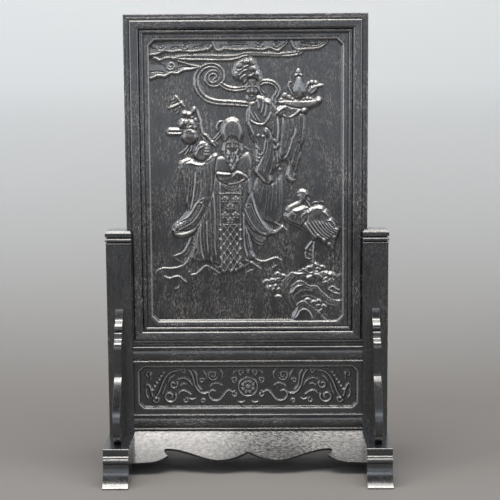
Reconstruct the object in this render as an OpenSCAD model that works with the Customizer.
// Chinese table screen: a carved panel in a mitred, moulded frame that lifts out of a joined stand.
// Millimetres, +Z up, front towards -Y. The origin lies on the table under the middle of the stand.

/* [Stand] */
// Outer width over the two posts and feet
stand_w = 282; // [260:1:310]
// Width of a post, left to right
post_w = 25; // [23:0.5:29]
// Depth of a post, front to back
post_d = 25; // [23:0.5:29]
// Height of a post above its foot
post_h = 207.5; // [185:0.5:240]
// Height of the moulded cap at the top of a post
cap_h = 14; // [11:0.5:17]
// How far the cap's bands stand proud of the post
cap_proud = 0.7; // [0.3:0.1:1]
// How far the cap's sloping faces run back
cap_slope = 1.9; // [1.2:0.1:2]

/* [Feet] */
// Length of a shoe foot, front to back
foot_l = 157; // [146:1:175]
// Height of a foot under its post
foot_h = 37.5; // [34:0.5:42]
// Thickness of the slab along the top of a foot
slab_t = 6.5; // [5:0.5:8]
// How far the toe reaches past the slab
toe_reach = 11; // [8:0.5:14]
// Thickness of the toe at its tip
toe_t = 1.5; // [1:0.5:3]
// Height of the fillet under the slab
foot_fillet_t = 2.8; // [2.4:0.2:4]
// Height of the bead under that fillet
foot_bead_t = 6; // [4:0.5:7]
// Length of the hollow under a foot, between its two pads
arch_l = 92; // [70:1:110]
// Height of that hollow
arch_h = 3; // [2:0.5:4]

/* [Cross rails and waist panel] */
// Height of a cross rail
rail_h = 17; // [15:0.5:19]
// Depth of a cross rail, front to back
rail_d = 22; // [20:0.5:23]
// Height of the lower cross rail above the feet
rail_lift = 2.5; // [1:0.5:6]
// Clear height between the two cross rails
waist_h = 53; // [46:1:70]
// Width of the beads along a rail's edges
rail_bead = 2.6; // [1.8:0.2:3]
// How far the middle of a rail's face sits behind its beads
rail_sink = 0.8; // [0.4:0.2:1.4]
// Thickness of the waist panel's tongue
waist_tongue_t = 5; // [4:0.5:6]
// Depth of the grooves that hold the waist panel
waist_groove_l = 4; // [3:0.5:5]

/* [Screen frame] */
// Height of the framed screen
frame_h = 331; // [300:0.5:360]
// Width of a frame member's moulded face
frame_face = 19.2; // [18:0.2:23]
// Thickness of the frame at its ridge
frame_t = 17; // [15:0.5:20]
// Thickness of the frame's outer edge, the tongue that runs in the posts
tongue_t = 12; // [10:0.5:13]
// How far that tongue enters a post
tongue_l = 4.5; // [3.5:0.5:5]
// Flat between the tongue and the ridge of the moulding
ridge_gap = 1.1; // [1:0.1:2]
// Width of the ridge's rounded outer shoulder
shoulder_w = 2.2; // [1.8:0.2:3]
// How far the broad face falls towards the panel
face_fall = 0.4; // [0.2:0.1:1.2]
// Width of the ridge's rounded inner shoulder
inner_shoulder_w = 2.4; // [1.8:0.2:3]
// Width of the bead next to the panel
inner_bead_w = 4.1; // [3.5:0.1:5]
// Height of that bead above the inner edge
inner_bead_h = 1.8; // [1.2:0.1:2.4]
// Thickness of the frame at its inner edge
inner_t = 10; // [9:0.5:11]
// Depth of the groove that holds the carved panel
panel_groove_l = 4.4; // [3.5:0.1:4.8]

/* [Carved panel] */
// Thickness of the panel's tongue
panel_tongue_t = 4; // [3:0.5:5]
// Height of the panel's rim in front of its mid-plane
rim_front = 4.8; // [4:0.2:5.5]
// Width of the raised rim around the carving
rim_w = 4.1; // [3.5:0.1:7]
// Shadow gap between the rim and the frame
rim_gap = 1.1; // [0.6:0.1:2]
// Depth of the carved ground below the rim
ground_depth = 3.8; // [2.5:0.1:4.2]
// Width of the slope from the rim down to the ground
ground_bevel = 1.8; // [0.6:0.1:2.4]
// Cut corners of the carved ground
ground_corner = 7.5; // [4:0.5:12]
// Back of the panel behind its mid-plane
panel_back = 4; // [3:0.5:4.5]

/* [Panel battens] */
// Width of a batten across the back
batten_w = 14; // [12:0.5:18]
// How far a batten stands behind the panel
batten_proud = 3.2; // [2.5:0.1:4]
// Depth of the dovetail that holds a batten
dovetail_l = 2.4; // [1.8:0.1:3]
// Width of the dovetail at the panel's back
dovetail_w = 8; // [6:0.5:9]
// How far the dovetail widens on each side
dovetail_flare = 0.9; // [0.5:0.1:1.2]
// Height of a batten above and below the middle of the panel
batten_offset = 72; // [50:1:95]

/* [Waist panel face] */
// Height of the waist panel's rim in front of its mid-plane
waist_front = 5; // [4:0.2:6]
// Depth of its carved ground
waist_ground = 2.8; // [2:0.1:3.5]
// Width of its rim
waist_rim_w = 3.8; // [3:0.1:6]
// Cut corners of its carved ground
waist_corner = 5; // [3:0.5:8]
// Back of the waist panel behind its mid-plane
waist_back = 4; // [3:0.5:5]

/* [Spandrels] */
// Height of a standing spandrel
spandrel_h = 128.5; // [115:0.5:145]
// How far a spandrel reaches out from its post
spandrel_reach = 46.5; // [40:0.5:50]
// Thickness of a spandrel
spandrel_t = 7.5; // [6:0.5:10]

/* [Aprons] */
// Thickness of an apron board
apron_t = 5; // [4:0.5:6]
// Lean of an apron away from upright, in degrees
apron_lean = 40; // [30:1:45]
// Depth of an apron down its slope, at its ends
apron_drop = 35.7; // [31:0.1:38]
// How far an apron's face starts behind the rail's face
apron_setback = 1.5; // [1:0.1:2.5]
// Depth of the slanting housings in the feet
housing_l = 3; // [2:0.5:4]

/* [Joinery] */
// Gap on each side of a glued joint
joint_fit = 0.1; // [0.05:0.05:0.2]
// Gap on each side of the sliding tongue
slide_fit = 0.3; // [0.2:0.05:0.4]
// Gap left past the end of a tenon
end_gap = 0.5; // [0.3:0.1:0.8]
// Thickness of the frame's corner tenons
corner_tenon_t = 5; // [4:0.5:6]
// Distance of a corner tenon from the frame's outer edge
corner_tenon_in = 5; // [4:0.5:6]
// Wood left beyond the end of a corner tenon
corner_cover = 3; // [2.5:0.5:4]
// Thickness of a cross rail's tenon
rail_tenon_t = 8; // [6:0.5:10]
// Length of a cross rail's tenon
rail_tenon_l = 15; // [12:0.5:18]
// Side of a post's square tenon in its foot
post_tenon = 13; // [11:0.5:15]
// Height of the wedge driven into a post's tenon
wedge_h = 14; // [10:0.5:18]
// Thickness of that wedge at its butt
wedge_t = 1.6; // [1:0.1:2.2]
// Thickness of the loose tongues that hold a spandrel
loose_t = 3; // [2:0.5:4]
// Width of a loose tongue
loose_w = 11; // [8:0.5:14]
// Depth of a loose tongue in each of its two pieces
loose_l = 6; // [4:0.5:7]
// Diameter of the pegs that lock the frame's corners
corner_peg_d = 2.6; // [2:0.1:3]
// Diameter of the pegs that lock the cross rails
rail_peg_d = 3; // [2.4:0.1:4]
// Diameter of the pins along an apron's top edge
apron_pin_d = 2; // [1.6:0.1:2.4]
// Length of those pins
apron_pin_l = 14; // [12:0.5:16]

/* [Hidden] */

blackwood = [0.10, 0.09, 0.09];
panel_wood = [0.13, 0.12, 0.12];
peg_wood = [0.32, 0.24, 0.16];

// Spare length on every cutting shape
over = 1;
// Chords along each curved stretch of an outline
curve_steps = 8;
// Chords between two points of a carved form
relief_steps = 3;
// How far a carved form runs into the ground behind it
relief_bite = 0.5;

inner_w = stand_w - 2*post_w;
post_x = stand_w/2 - post_w/2;
lower_rail_z = foot_h + rail_lift;
waist_z = lower_rail_z + rail_h;
upper_rail_z = waist_z + waist_h;
frame_z = upper_rail_z + rail_h;
frame_w = inner_w + 2*tongue_l;
frame_top = frame_z + frame_h;
frame_mid = frame_z + frame_h/2;
open_w = frame_w - 2*frame_face;
open_h = frame_h - 2*frame_face;
post_top = foot_h + post_h;
rail_shoulder = waist_groove_l + end_gap;

// Curves and placing

// Points on an elliptical arc
function arc(centre, rx, ry, from, to) =
    [for (i = [0:curve_steps]) let (a = from + (to - from)*i/curve_steps)
        [centre.x + rx*cos(a), centre.y + ry*sin(a)]];

// Points on a cubic curve after its first end
function curve(a, b, c, d) =
    [for (i = [1:curve_steps]) let (t = i/curve_steps, s = 1 - t)
        a*s^3 + 3*b*s^2*t + 3*c*s*t^2 + d*t^3];

// The same points mirrored in the first or second coordinate, in reverse order
function mirrored_a(points) = [for (i = [len(points) - 1:-1:0]) [-points[i].x, points[i].y]];
function mirrored_b(points) = [for (i = [len(points) - 1:-1:0]) [points[i].x, -points[i].y]];

// An outline in (y, z), drawn out along X
module along_x(length) rotate([90, 0, 90]) linear_extrude(length, center = true) children();

// An outline in (x, z), drawn out along Y
module along_y(length) rotate([90, 0, 0]) linear_extrude(length, center = true) children();

// A box from one corner to the opposite one
module block(low, high) translate(low) cube(high - low);

module on_right() mirror([1, 0, 0]) children();

module at_back() mirror([0, 1, 0]) children();

module left_and_right() {
    children();
    on_right() children();
}

module front_and_back() {
    children();
    at_back() children();
}

module top_and_bottom_of_frame() {
    children();
    translate([0, 0, 2*frame_mid]) mirror([0, 0, 1]) children();
}

// Screen frame: four moulded members with mitred corners

// One face of the moulding, outer edge to panel: [distance in, height from the mid-plane]
function moulding_face() =
    let (arris = 0.5, line_w = 0.4, line_d = 0.6, lip_w = 2.6,
         lip = tongue_t/2, top = frame_t/2, low = top - face_fall, inside = inner_t/2,
         ridge = tongue_l + ridge_gap, crest = ridge + shoulder_w,
         bead = frame_face - inner_bead_w, brow = bead - inner_shoulder_w, floor = lip - line_d)
    concat(
        [[0, lip - arris], [arris, lip], [lip_w - line_w, lip]],
        arc([(lip_w + ridge)/2, floor], (ridge - lip_w)/2, line_d, 180, 0),
        arc([crest, floor], shoulder_w, top - floor, 180, 90),
        [[brow, low]],
        arc([brow, inside], inner_shoulder_w, low - inside, 90, 0),
        arc([bead + inner_bead_w/2, inside], inner_bead_w/2, inner_bead_h, 180, 0));

// Cross-section of a frame member, with the groove for the panel
module frame_section() {
    face = moulding_face();
    groove = panel_tongue_t/2 + joint_fit;
    inside = frame_face - panel_groove_l;
    polygon(concat(face,
        [[frame_face, groove], [inside, groove], [inside, -groove], [frame_face, -groove]],
        mirrored_b(face)));
}

// The tenon at the top of the left stile, or its mortise when grown
module corner_tenon(grow = 0, longer = 0) {
    left = -frame_w/2 + corner_tenon_in;
    right = -frame_w/2 + frame_face - panel_groove_l - 2*joint_fit;
    block([left - grow, -corner_tenon_t/2 - grow, frame_top - frame_face],
          [right + grow, corner_tenon_t/2 + grow, frame_top - corner_cover + longer]);
}

// The peg through the top left corner, driven in from the back
module corner_peg(grow = 0) {
    tenon_right = frame_face - panel_groove_l;
    peg_x = -frame_w/2 + (corner_tenon_in + tenon_right + corner_peg_d)/2;
    peg_z = frame_top - (corner_cover + tenon_right)/2;
    back = frame_t/2 - joint_fit;
    front = corner_tenon_t/2 + over;
    spare = grow > 0 ? over : 0;
    translate([peg_x, back + spare, peg_z]) rotate([90, 0, 0])
        cylinder(d = corner_peg_d + 2*grow, h = back + front + spare + grow, $fn = 24);
}

module left_stile() {
    outer = -frame_w/2;
    color(blackwood) difference() {
        union() {
            intersection() {
                translate([outer, 0, frame_z]) linear_extrude(frame_h) frame_section();
                along_y(frame_t + 2*over)
                    polygon([[outer, frame_z], [outer + frame_face, frame_z + frame_face],
                             [outer + frame_face, frame_top - frame_face], [outer, frame_top]]);
            }
            top_and_bottom_of_frame() corner_tenon();
        }
        top_and_bottom_of_frame() corner_peg(joint_fit);
    }
}

module top_rail() {
    color(blackwood) difference() {
        intersection() {
            translate([0, 0, frame_top]) along_x(frame_w) rotate(-90) frame_section();
            along_y(frame_t + 2*over)
                polygon([[-frame_w/2, frame_top], [-frame_w/2 + frame_face, frame_top - frame_face],
                         [frame_w/2 - frame_face, frame_top - frame_face], [frame_w/2, frame_top]]);
        }
        left_and_right() {
            corner_tenon(joint_fit, end_gap);
            corner_peg(joint_fit);
        }
    }
}

// Carved panel: a floating board with a raised rim, two battens across its back

// A sunk rectangle with cut corners and sloping sides, open towards -Y
module sunk_field(w, h, corner, face_y, depth, bevel) {
    slope = bevel/depth;
    diagonal = (w/2 + h/2 - corner)/sqrt(2);
    module side_walls(angle, half) rotate([0, angle, 0]) linear_extrude(2*(w + h), center = true)
        polygon([[-half - slope*over, face_y - over], [half + slope*over, face_y - over],
                 [half - bevel, face_y + depth], [-half + bevel, face_y + depth]]);
    intersection() {
        side_walls(0, w/2);
        side_walls(90, h/2);
        side_walls(45, diagonal);
        side_walls(-45, diagonal);
    }
}

// A point on a smooth curve, part of the way from b to c
function between(a, b, c, d, t) =
    b + (c - a)*t/2 + (2*a - 5*b + 4*c - d)*t^2/2 + (3*b - a - 3*c + d)*t^3/2;

// A smooth closed outline through a few points
function smooth_outline(points) = let (n = len(points))
    [for (i = [0:n - 1], s = [0:relief_steps - 1])
        between(points[(i + n - 1)%n], points[i], points[(i + 1)%n], points[(i + 2)%n], s/relief_steps)];

// A smooth open path through a few points
function smooth_path(points) = let (n = len(points))
    concat([for (i = [0:n - 2], s = [0:relief_steps - 1])
        between(points[max(i - 1, 0)], points[i], points[i + 1], points[min(i + 2, n - 1)], s/relief_steps)],
        [points[n - 1]]);

// Outline of a band along a path, narrowed at its ends
function band_outline(points, width) =
    let (path = smooth_path(points), last = len(path) - 1,
         side = [for (i = [0:last])
             let (run = path[min(i + 1, last)] - path[max(i - 1, 0)], end = i == 0 || i == last)
             [-run.y, run.x]*(end ? 0.2 : 0.5)*width/norm(run)])
    concat([for (i = [0:last]) path[i] + side[i]], [for (i = [last:-1:0]) path[i] - side[i]]);

// An outline raised from a sunk ground towards -Y
module raised(outline, ground_y, lift) translate([0, ground_y + (relief_bite - lift)/2, 0])
    along_y(lift + relief_bite) polygon(outline);

// A round boss on a sunk ground: the cap of a sphere
module boss(centre, radius, ground_y, lift) {
    ball = (radius^2 + lift^2)/(2*lift);
    intersection() {
        translate([centre.x, ground_y - lift + ball, centre.y]) sphere(ball, $fn = 48);
        block([centre.x - 2*radius, ground_y - lift - over, centre.y - 2*radius],
              [centre.x + 2*radius, ground_y + relief_bite, centre.y + 2*radius]);
    }
}

// Main forms of the carved scene, from the middle of the drawing: [share of the ground's depth, points]
scene_forms = [
    // Cloud banks
    [0.40, [[-98, 144], [-98, 128], [-84, 129], [-60, 131], [-44, 134], [-40, 144]]],
    [0.36, [[-39, 144], [-38, 135], [-29, 135], [-26, 132], [12, 132], [30, 133], [39, 138], [41, 144]]],
    [0.38, [[42, 144], [45, 135], [46, 131], [62, 130], [77, 131], [80, 144]]],
    [0.42, [[-98, 125], [-82, 123], [-64, 121], [-48, 115], [-70, 110], [-98, 106]]],
    // Attendant: skirt, body, right sleeve, left sleeve, arm, head and hair
    [0.36, [[14, 8], [28, 0], [36, 6], [36, -24], [32, -41], [14, -38], [7, -22]]],
    [0.58, [[2, 74], [8, 86], [20, 83], [30, 74], [34, 55], [34, 24], [22, 10], [9, 17], [9, 38],
            [3, 52], [1, 63]]],
    [0.62, [[36, 68], [57, 70], [57, 48], [51, 20], [47, 1], [40, 6], [41, 19], [32, 21], [33, 45]]],
    [0.70, [[17, 54], [24, 52], [29, 30], [25, 8], [22, -3], [13, 4], [9, 11], [18, 31]]],
    [0.76, [[27, 67], [41, 76], [58, 74], [57, 69], [44, 63], [33, 64]]],
    [0.82, [[6, 101], [11, 95], [10, 88], [6, 85], [2, 88], [1, 95]]],
    [0.72, [[-13, 106], [-9, 118], [4, 123], [10, 114], [15, 105], [12, 96], [0, 99], [-11, 102]]],
    // Tray and ewer
    [0.80, [[32, 79], [53, 80], [74, 81], [69, 75], [56, 72], [40, 75]]],
    [0.94, [[51, 104], [48, 95], [47, 90], [50, 82], [56, 82], [59, 90], [57, 95], [54, 104]]],
    // Sage: robe, brocade front, sleeves, hands, beard and head
    [0.64, [[-42, 22], [-24, 26], [2, 30], [6, 18], [5, -24], [3, -54], [7, -78], [-4, -88], [-24, -89],
            [-41, -85], [-56, -80], [-52, -58], [-46, -24], [-46, 10]]],
    [0.84, [[-27, 0], [-17, 1], [-6, 0], [-5, -30], [-6, -62], [-7, -86], [-17, -89], [-26, -86], [-27, -52]]],
    [0.78, [[-67, 18], [-55, 23], [-40, 20], [-29, 27], [-33, -8], [-43, -35], [-56, -51], [-72, -54],
            [-73, -45], [-61, -30], [-64, -3]]],
    [0.76, [[5, -9], [12, -31], [23, -47], [36, -45], [22, -54], [8, -51], [-3, -28]]],
    [0.92, [[-30, 10], [-10, 12], [2, 4], [-12, -3], [-28, -1]]],
    [0.74, [[-51, 25], [-48, 38], [-39, 39], [-37, 26], [-45, 20]]],
    [0.86, [[-23, 38], [-19, 18], [-14, 11], [-8, 22], [-4, 38]]],
    [0.90, [[-25, 51], [-20, 61], [-14, 64], [-8, 62], [-3, 53], [-5, 39], [-14, 33], [-23, 40]]],
    // Crane: back and tail, then breast, neck and head
    [0.60, [[52, -37], [64, -26], [78, -26], [90, -42], [93, -51], [86, -68], [71, -57], [60, -53]]],
    [0.74, [[39, -30], [38, -36], [47, -43], [56, -45], [58, -36], [51, -28], [54, -23], [61, -12], [56, -9],
            [51, -14], [49, -22]]],
    // Rocks, from the far ledge to the near one, and a bush beside them
    [0.32, [[35, -101], [45, -92], [57, -89], [70, -91], [90, -93], [98, -96], [98, -143], [47, -143],
            [45, -127], [34, -109]]],
    [0.54, [[44, -106], [54, -100], [70, -105], [84, -119], [98, -120], [98, -143], [49, -143], [47, -124]]],
    [0.74, [[49, -128], [57, -121], [69, -127], [84, -143], [48, -143]]],
    [0.28, [[16, -102], [24, -99], [33, -98], [34, -110], [28, -116], [20, -108]]]];

// Bands in the scene: [share of the ground's depth, width, points]
scene_bands = [
    // Scarves
    [0.46, 4.4, [[-23, 101], [-25, 111], [-33, 116], [-43, 112], [-49, 102], [-47, 91], [-39, 83],
                 [-25, 79], [2, 77]]],
    [0.46, 4.2, [[-25, 97], [-15, 93], [0, 93]]],
    [0.46, 4.2, [[14, 98], [23, 99], [32, 91], [28, 80]]],
    // Staff with its twig and book roll
    [0.48, 3.0, [[-49, 73], [-46, 57], [-43, 49], [-36, 42], [-30, 35]]],
    [0.48, 3.0, [[-71, 87], [-61, 75], [-56, 68], [-51, 74]]],
    [0.44, 6.0, [[-78, 50], [-70, 50], [-62, 50]]],
    // Flying hem and trailing folds
    [0.42, 2.6, [[-56, -55], [-64, -70], [-75, -75]]],
    [0.42, 2.6, [[-94, -93], [-84, -86], [-70, -86], [-60, -79]]],
    [0.42, 2.6, [[5, -72], [13, -80], [28, -77], [36, -80]]],
    // Crane's bill and legs
    [0.42, 2.4, [[58, -15], [61, -20], [65, -26]]],
    [0.44, 2.4, [[66, -58], [60, -68], [60, -78]]],
    [0.44, 2.4, [[68, -58], [67, -70], [66, -84]]]];

// Stems of the waist's scroll work on the right: [share of the ground's depth, width, points]
scroll_stems = [
    [0.57, 4.2, [[69, 17], [79, 14], [86, 4], [93, -8], [95, -15]]],
    [0.57, 4.2, [[62, 15], [56, 8], [52, -4], [45, -10], [41, -8]]],
    [0.57, 4.2, [[39, -10], [34, -13], [27, -13], [22, -8]]],
    [0.57, 4.2, [[42, 13], [35, 15], [29, 9], [34, 3]]],
    [0.57, 4.2, [[79, -4], [77, -12], [71, -11], [66, -6], [59, -6]]],
    [0.57, 4.2, [[108, 0], [103, 1], [99, -8], [97, -11]]]];

// The points of a drawing spread over a field
function on_field(points, field, drawing) =
    [for (p = points) [p.x*field.x/drawing.x, p.y*field.y/drawing.y]];

module scene_relief(field) {
    drawing = [192, 282];
    growth = field.x/drawing.x;
    gourd = [-56.5, 45.5];
    gourd_r = 7.2*growth;
    ground_y = ground_depth - rim_front;
    for (form = scene_forms)
        raised(smooth_outline(on_field(form[1], field, drawing)), ground_y, form[0]*ground_depth);
    for (band = scene_bands)
        raised(band_outline(on_field(band[2], field, drawing), band[1]*growth), ground_y, band[0]*ground_depth);
    boss(on_field([gourd], field, drawing)[0], gourd_r, ground_y, 0.9*ground_depth);
}

// Scrolls on both sides of a round flower in a ring
module scroll_relief(field) {
    drawing = [224, 45];
    growth = field.y/drawing.y;
    ring_r = 0.235*field.y;
    ring_w = 0.2*ring_r;
    petals = 8;
    petal_r = 0.16*ring_r;
    petal_ring = 0.51*ring_r;
    heart_r = 0.25*ring_r;
    lift = 0.57*waist_ground;
    ground_y = waist_ground - waist_front;
    left_and_right() for (stem = scroll_stems)
        raised(band_outline(on_field(stem[2], field, drawing), stem[1]*growth), ground_y, stem[0]*waist_ground);
    translate([0, ground_y + (relief_bite - lift)/2, 0]) along_y(lift + relief_bite) difference() {
        circle(ring_r, $fn = 48);
        circle(ring_r - ring_w, $fn = 48);
    }
    boss([0, 0], heart_r, ground_y, 0.7*waist_ground);
    for (i = [0:petals - 1]) let (a = 360*(i + 0.5)/petals)
        boss([petal_ring*cos(a), petal_ring*sin(a)], petal_r, ground_y, lift);
}

// The sliding dovetail of a batten in (y, z), or its housing when grown
function dovetail(grow = 0) =
    let (neck = dovetail_w/2 + grow, tail = neck + dovetail_flare, floor = panel_back - dovetail_l - grow)
    [[panel_back, -neck], [floor, -tail], [floor, tail], [panel_back, neck]];

module panel() {
    tongue = panel_groove_l - end_gap;
    raised_w = open_w - 2*rim_gap;
    raised_h = open_h - 2*rim_gap;
    field = [raised_w - 2*rim_w, raised_h - 2*rim_w];
    color(panel_wood) translate([0, 0, frame_mid]) {
        difference() {
            union() {
                cube([open_w + 2*tongue, panel_tongue_t, open_h + 2*tongue], center = true);
                block([-raised_w/2, -rim_front, -raised_h/2], [raised_w/2, panel_back, raised_h/2]);
            }
            sunk_field(field.x, field.y, ground_corner, -rim_front, ground_depth, ground_bevel);
            for (side = [-1, 1])
                translate([0, 0, side*batten_offset]) along_x(open_w) polygon(dovetail(joint_fit));
        }
        scene_relief(field);
    }
}

module batten(side) {
    soft = 0.8;
    back = panel_back + batten_proud;
    rib = [[panel_back, batten_w/2], [back - soft, batten_w/2], [back, batten_w/2 - soft],
           [back, soft - batten_w/2], [back - soft, -batten_w/2], [panel_back, -batten_w/2]];
    color(blackwood) translate([0, 0, frame_mid + side*batten_offset])
        along_x(open_w - 2*rim_gap) polygon(concat(dovetail(), rib));
}

// Stand: posts, feet, cross rails and waist panel

// Half the width of a post at each height, for a shaft of the given width: the cap is a fillet, a band
// and a slab, each with an upper edge that slopes back
function post_outline(width) =
    let (half = width/2, proud = half + cap_proud, back = proud - cap_slope, rise = 1.3*cap_slope,
         edge = 0.3, low = post_top - cap_h, band = low + 0.2*cap_h, slab = low + 0.54*cap_h)
    [[half, foot_h], [half, low], [proud - edge, low + edge], [proud - edge, band - 0.7*rise],
     [back, band], [proud, band + edge], [proud, slab - rise],
     [back, slab], [proud, slab + edge], [proud, post_top - rise], [back, post_top]];

module post_body() {
    wide = post_outline(post_w);
    deep = post_outline(post_d);
    intersection() {
        along_y(2*post_d) polygon(concat(wide, mirrored_a(wide)));
        along_x(2*post_w) polygon(concat(deep, mirrored_a(deep)));
    }
}

// Tenon at the right end of a cross rail, or its mortise when grown
module rail_tenon(rail_z, grow = 0, longer = 0) {
    block([inner_w/2 - over, -rail_tenon_t/2 - grow, rail_z + rail_shoulder - grow],
          [inner_w/2 + rail_tenon_l + longer, rail_tenon_t/2 + grow,
           rail_z + rail_h - rail_shoulder + grow]);
}

// The peg through the right post and a cross rail's tenon, driven in from the back
module rail_peg(rail_z, grow = 0) {
    front = rail_tenon_t/2 + over;
    spare = grow > 0 ? over : 0;
    peg_x = inner_w/2 + rail_peg_d + over;
    translate([peg_x, post_d/2 + spare, rail_z + rail_h/2]) rotate([90, 0, 0])
        cylinder(d = rail_peg_d + 2*grow, h = post_d/2 + front + spare + grow, $fn = 24);
}

// The wedge in the foot of the right post's tenon, or its saw cut when grown
module post_wedge(grow = 0) {
    spare = grow > 0 ? over : 0;
    low = arch_h + end_gap;
    butt = wedge_t/2 + grow;
    tip = wedge_t/8 + grow;
    high = low + wedge_h + grow;
    translate([post_x, 0, 0]) along_y(post_tenon + 2*spare)
        polygon([[-butt, low - spare], [butt, low - spare], [butt, low],
                 [tip, high], [-tip, high], [-butt, low]]);
}

// Tongues between the right front spandrel and its post, or their mortises when grown
module post_tongues(grow = 0, longer = 0) {
    for (share = [0.22, 0.68])
        translate([post_x, -post_d/2, foot_h + share*spandrel_h])
            cube([loose_t + 2*grow, 2*loose_l + 2*longer, loose_w + 2*grow], center = true);
}

// Tongue between the right front spandrel and its foot, or its mortise when grown
module foot_tongue(grow = 0, longer = 0) {
    translate([post_x, -post_d/2 - 0.4*spandrel_reach, foot_h])
        cube([loose_t + 2*grow, loose_w + 2*grow, 2*loose_l + 2*longer], center = true);
}

module right_post_solid() {
    groove_l = tongue_l + slide_fit;
    groove = tongue_t/2 + slide_fit;
    waist_groove = waist_tongue_t/2 + joint_fit;
    tenon_low = arch_h + end_gap;
    color(blackwood) difference() {
        union() {
            translate([post_x, 0, 0]) post_body();
            block([post_x - post_tenon/2, -post_tenon/2, tenon_low],
                  [post_x + post_tenon/2, post_tenon/2, foot_h + over]);
        }
        block([inner_w/2 - 2*over, -groove, frame_z], [inner_w/2 + groove_l, groove, post_top + over]);
        block([inner_w/2 - over, -waist_groove, waist_z - waist_groove_l],
              [inner_w/2 + waist_groove_l, waist_groove, upper_rail_z + waist_groove_l]);
        for (rail_z = [lower_rail_z, upper_rail_z]) {
            rail_tenon(rail_z, joint_fit, end_gap);
            rail_peg(rail_z, joint_fit);
        }
        front_and_back() post_tongues(joint_fit, end_gap/2);
        post_wedge(joint_fit);
    }
}

// One end of a foot's side outline in (y, z), from its top round to its underside: slab, fillet, bead,
// a long cove that sweeps out to the toe, and the hollow underneath
function foot_half() =
    let (soft = 1.6, line = 0.8, lip = 0.5, swell = 2.8, ogee = 2*arch_h,
         toe = foot_l/2, slab = toe - toe_reach, slab_z = foot_h - slab_t,
         bead_z = slab_z - foot_fillet_t, cove_z = bead_z - foot_bead_t, cove = slab + line/2,
         tip = [toe - lip, toe_t])
    concat(
        arc([slab - soft, foot_h - soft], soft, soft, 90, 0),
        [[slab, slab_z], [slab - line, slab_z - line/2], [slab + line, slab_z - 2.5*line],
         [slab + line, bead_z]],
        arc([cove, bead_z - foot_bead_t/2], swell, foot_bead_t/2, 90, -90),
        curve([cove, cove_z], [cove, 0.6*cove_z], [cove + 0.42*toe_reach, 0.25*cove_z], tip),
        arc([toe - lip, toe_t/2], lip, toe_t/2, 90, -90),
        [[arch_l/2 + ogee, 0]],
        curve([arch_l/2 + ogee, 0], [arch_l/2, 0], [arch_l/2, arch_h], [arch_l/2 - ogee, arch_h]));

module right_foot_solid() {
    half = foot_half();
    mortise = post_tenon/2 + joint_fit;
    color(blackwood) difference() {
        translate([post_x, 0, 0]) along_x(post_w) polygon(concat(half, mirrored_a(half)));
        block([post_x - mortise, -mortise, -over], [post_x + mortise, mortise, foot_h + over]);
        front_and_back() {
            foot_tongue(joint_fit, end_gap/2);
            apron_housing();
        }
    }
}

// Moulded section of a cross rail in (y, z): a cushion between beads along both edges of both faces
function rail_face(rail_z) =
    let (face = rail_d/2, soft = rail_bead/2, line_d = 0.7, sunk = face - rail_sink - line_d,
         crown = face + rail_sink/2, turn = 1.6,
         low = rail_z + rail_bead, high = rail_z + rail_h - rail_bead)
    concat(
        arc([face - soft, rail_z + soft], soft, soft, -90, 90),
        [[sunk, low], [sunk, low + line_d]],
        curve([sunk, low + line_d], [crown, low + line_d + turn],
              [crown, high - line_d - turn], [sunk, high - line_d]),
        [[sunk, high]],
        arc([face - soft, rail_z + rail_h - soft], soft, soft, -90, 90));

// A cross rail at one height, with a groove for the waist panel along one edge
module cross_rail(rail_z, groove_z) {
    face = rail_face(rail_z);
    groove = waist_tongue_t/2 + joint_fit;
    color(blackwood) difference() {
        union() {
            along_x(inner_w) polygon(concat(face, mirrored_a(face)));
            left_and_right() rail_tenon(rail_z);
        }
        block([-inner_w/2 - over, -groove, groove_z - waist_groove_l],
              [inner_w/2 + over, groove, groove_z + waist_groove_l]);
        left_and_right() rail_peg(rail_z, joint_fit);
    }
}

module waist_board() {
    tongue = waist_groove_l - end_gap;
    raised_h = waist_h - 2*joint_fit;
    raised_w = inner_w - 2*joint_fit;
    field = [raised_w - 2*waist_rim_w, raised_h - 2*waist_rim_w];
    color(panel_wood) translate([0, 0, waist_z + waist_h/2]) {
        difference() {
            union() {
                cube([inner_w + 2*tongue, waist_tongue_t, waist_h + 2*tongue], center = true);
                block([-raised_w/2, -waist_front, -raised_h/2], [raised_w/2, waist_back, raised_h/2]);
            }
            sunk_field(field.x, field.y, waist_corner, -waist_front, waist_ground, ground_bevel);
        }
        scroll_relief(field);
    }
}

// Spandrels: scrolled brackets that stand on the feet before and behind the posts

// Outline of a spandrel, as shares of its reach (from the post) and of its height: two curls near the
// top, an upright hollow and a long belly
function spandrel_outline() =
    let (top_end = [0.054, 1], brow = [0.16, 0.917], curl = [0.305, 0.862], nick = [0.272, 0.838],
         second = [0.345, 0.815], ledge = [0.42, 0.775], nose = [0.527, 0.705], crease = [0.53, 0.5],
         slope_end = [0.8, 0.36], belly = [1, 0.15], heel = [0.8, 0])
    concat(
        [[0, 0], [0, 1], top_end],
        curve(top_end, [0.08, 0.965], [0.12, 0.93], brow),
        curve(brow, [0.22, 0.905], [0.3, 0.885], curl),
        curve(curl, [0.31, 0.848], [0.28, 0.846], nick),
        curve(nick, [0.32, 0.84], [0.345, 0.83], second),
        curve(second, [0.345, 0.79], [0.37, 0.785], ledge),
        curve(ledge, [0.49, 0.763], [0.527, 0.745], nose),
        curve(nose, [0.527, 0.64], [0.5, 0.55], crease),
        curve(crease, [0.63, 0.466], [0.72, 0.405], slope_end),
        curve(slope_end, [0.92, 0.28], [1, 0.22], belly),
        curve(belly, [1, 0.07], [0.92, 0.03], heel));

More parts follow.
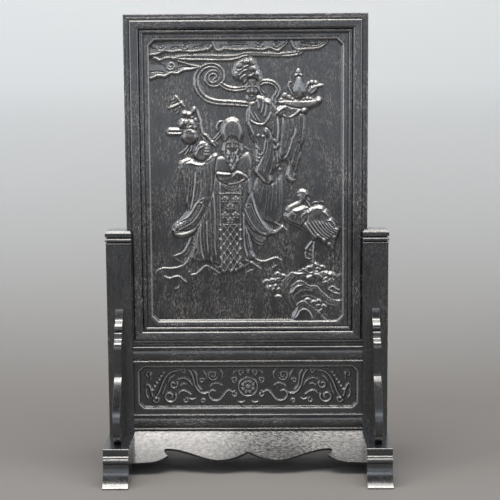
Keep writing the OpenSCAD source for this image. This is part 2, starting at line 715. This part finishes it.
module right_front_spandrel() {
    outline = [for (p = spandrel_outline()) [-post_d/2 - p.x*spandrel_reach, foot_h + p.y*spandrel_h]];
    color(blackwood) difference() {
        translate([post_x, 0, 0]) along_x(spandrel_t) polygon(outline);
        post_tongues(joint_fit, end_gap/2);
        foot_tongue(joint_fit, end_gap/2);
    }
}

// Aprons: leaning boards between the feet, with an ogee lower edge

// Places what is drawn as (x, up the slope, out of the face) on the front apron's face
module on_apron_face()
    translate([0, -rail_d/2 + apron_setback, lower_rail_z]) rotate([90 - apron_lean, 0, 0]) children();

// Right half of an apron's lower edge after its middle peak: shares of half the span and of the drop
function apron_edge(peak) =
    let (lobe = [0.25, 0.915], notch = [0.68, 0.563], notch_end = [0.73, 0.63], tip = [0.697, 0.768],
         flat = [0.90, 0.98])
    concat(
        curve(peak, [0.06, 0.75], [0.13, 0.89], lobe),
        curve(lobe, [0.38, 0.915], [0.52, 0.60], notch),
        curve(notch, [0.712, 0.553], [0.735, 0.575], notch_end),
        curve(notch_end, [0.728, 0.70], [0.715, 0.74], tip),
        curve(tip, [0.735, 0.86], [0.78, 0.97], flat),
        [[1, 1]]);

module front_apron_board() {
    half = inner_w/2;
    tail = half + housing_l - end_gap;
    rise = 2*apron_t;
    peak = [0, 0.65];
    edge = [for (p = apron_edge(peak)) [p.x*half, -p.y*apron_drop]];
    color(blackwood) difference() {
        intersection() {
            on_apron_face() translate([0, 0, -apron_t]) linear_extrude(apron_t)
                polygon(concat([[-tail, rise], [-tail, -apron_drop]], mirrored_a(edge),
                               [[0, -peak.y*apron_drop]], edge, [[tail, -apron_drop], [tail, rise]]));
            block([-stand_w, -foot_l, 0], [stand_w, 0, lower_rail_z]);
        }
        left_and_right() block([half, -foot_l, foot_h - joint_fit], [stand_w, 0, lower_rail_z + over]);
        apron_pin_row(joint_fit);
    }
}

// Slanting housing for the front apron in the right foot
module apron_housing() {
    on_apron_face()
        block([inner_w/2 - over, -apron_drop - joint_fit, -apron_t - joint_fit],
              [inner_w/2 + housing_l, 2*apron_t, joint_fit]);
}

// Pins between the front apron and the lower cross rail, or their holes when grown
module apron_pin_row(grow = 0) {
    for (share = [-0.7, 0, 0.7])
        on_apron_face() translate([share*inner_w/2, over, -apron_t/2]) rotate([90, 0, 0])
            cylinder(d = apron_pin_d + 2*grow, h = apron_pin_l + 2*grow, center = true, $fn = 24);
}

// Named pieces

module carved_panel() panel();
module frame_top_rail() top_rail();
module frame_bottom_rail() translate([0, 0, 2*frame_mid]) mirror([0, 0, 1]) top_rail();
module frame_left_stile() left_stile();
module frame_right_stile() on_right() left_stile();
module upper_batten() batten(1);
module lower_batten() batten(-1);
module frame_corner_pegs() color(peg_wood) left_and_right() top_and_bottom_of_frame() corner_peg();
module left_post() on_right() right_post_solid();
module right_post() right_post_solid();
module left_foot() on_right() right_foot_solid();
module right_foot() right_foot_solid();
module front_left_spandrel() on_right() right_front_spandrel();
module front_right_spandrel() right_front_spandrel();
module back_left_spandrel() at_back() on_right() right_front_spandrel();
module back_right_spandrel() at_back() right_front_spandrel();
module upper_cross_rail() cross_rail(upper_rail_z, upper_rail_z);
module lower_cross_rail() difference() {
    cross_rail(lower_rail_z, waist_z);
    front_and_back() apron_pin_row(joint_fit);
}
module waist_panel() waist_board();
module front_apron() front_apron_board();
module back_apron() at_back() front_apron_board();
module spandrel_post_tongues() color(peg_wood) left_and_right() front_and_back() post_tongues();
module spandrel_foot_tongues() color(peg_wood) left_and_right() front_and_back() foot_tongue();
module cross_rail_pegs() color(peg_wood) left_and_right() {
    rail_peg(lower_rail_z);
    rail_peg(upper_rail_z);
}
module post_wedges() color(peg_wood) left_and_right() post_wedge();
module apron_pins() color(peg_wood) front_and_back() apron_pin_row();

carved_panel();
frame_top_rail();
frame_bottom_rail();
frame_left_stile();
frame_right_stile();
upper_batten();
lower_batten();
frame_corner_pegs();
left_post();
right_post();
left_foot();
right_foot();
front_left_spandrel();
front_right_spandrel();
back_left_spandrel();
back_right_spandrel();
upper_cross_rail();
lower_cross_rail();
waist_panel();
front_apron();
back_apron();
spandrel_post_tongues();
spandrel_foot_tongues();
cross_rail_pegs();
post_wedges();
apron_pins();
